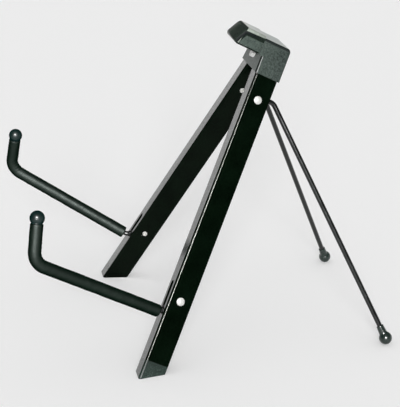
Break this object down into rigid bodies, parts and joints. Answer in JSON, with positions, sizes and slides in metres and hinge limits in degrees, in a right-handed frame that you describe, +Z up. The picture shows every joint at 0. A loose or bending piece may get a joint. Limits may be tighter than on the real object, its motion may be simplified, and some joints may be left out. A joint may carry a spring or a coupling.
{
  "type": "folding guitar stand",
  "caption": "Folding A-frame guitar stand: hinged channel legs with foam-covered fold-out arms, wire rear legs and a rubber-nosed head that rests against the body.",
  "frame": {"origin": "on the floor, under the middle of the stand's box as it stands open", "axes": "+X to the stand's right leg, +Y to its rear legs, +Z up; the arms reach towards -Y"},
  "size_m": [0.2948, 0.3878, 0.332],
  "materials": {
    "black_paint": "gloss black paint",
    "grey_plastic": "satin moulded",
    "bright_steel": "bright",
    "spacer_nylon": "smooth",
    "black_foam": "soft foam",
    "ball_plastic": "gloss",
    "foot_rubber": "semi-matt",
    "nose_rubber": "matt"
  },
  "bodies": {
    "right_leg": {"right_leg_channel": "black_paint", "right_foot_cap": "grey_plastic", "right_arm_rivet": "bright_steel", "right_arm_spacers": "spacer_nylon", "right_rear_rivet": "bright_steel", "right_rear_spacers": "spacer_nylon", "head_block": "grey_plastic", "hinge_pin": "bright_steel", "nose_bumper": "nose_rubber"},
    "left_leg": {"left_leg_channel": "black_paint", "left_foot_cap": "grey_plastic", "left_arm_rivet": "bright_steel", "left_arm_spacers": "spacer_nylon", "left_rear_rivet": "bright_steel", "left_rear_spacers": "spacer_nylon", "left_head_cap": "grey_plastic"},
    "right_arm": {"right_arm_rod": "black_paint", "right_arm_foam": "black_foam", "right_arm_tip": "ball_plastic"},
    "right_rear_leg": {"right_rear_rod": "black_paint", "right_rear_foot": "foot_rubber"},
    "left_arm": {"left_arm_rod": "black_paint", "left_arm_foam": "black_foam", "left_arm_tip": "ball_plastic"},
    "left_rear_leg": {"left_rear_rod": "black_paint", "left_rear_foot": "foot_rubber"}
  },
  "joints": [
    {"name": "head_fold", "type": "hinge", "parent": "right_leg", "child": "left_leg", "pos_m": [0, 0.07739, 0.29261], "axis": [0, -0.8886, 0.4587], "range_deg": [0, 38]},
    {"name": "right_arm_fold", "type": "hinge", "parent": "right_leg", "child": "right_arm", "pos_m": [0.10229, -0.03897, 0.06718], "axis": [-0.9449, -0.1501, -0.2908], "range_deg": [0, 80]},
    {"name": "right_rear_fold", "type": "hinge", "parent": "right_leg", "child": "right_rear_leg", "pos_m": [0.02857, 0.05868, 0.25636], "axis": [-0.9449, -0.1501, -0.2908], "range_deg": [0, 48]},
    {"name": "left_arm_fold", "type": "hinge", "parent": "left_leg", "child": "left_arm", "pos_m": [-0.10229, -0.03897, 0.06718], "axis": [-0.9449, 0.1501, 0.2908], "range_deg": [0, 80]},
    {"name": "left_rear_fold", "type": "hinge", "parent": "left_leg", "child": "left_rear_leg", "pos_m": [-0.02857, 0.05868, 0.25636], "axis": [-0.9449, 0.1501, 0.2908], "range_deg": [0, 48]}
  ]
}
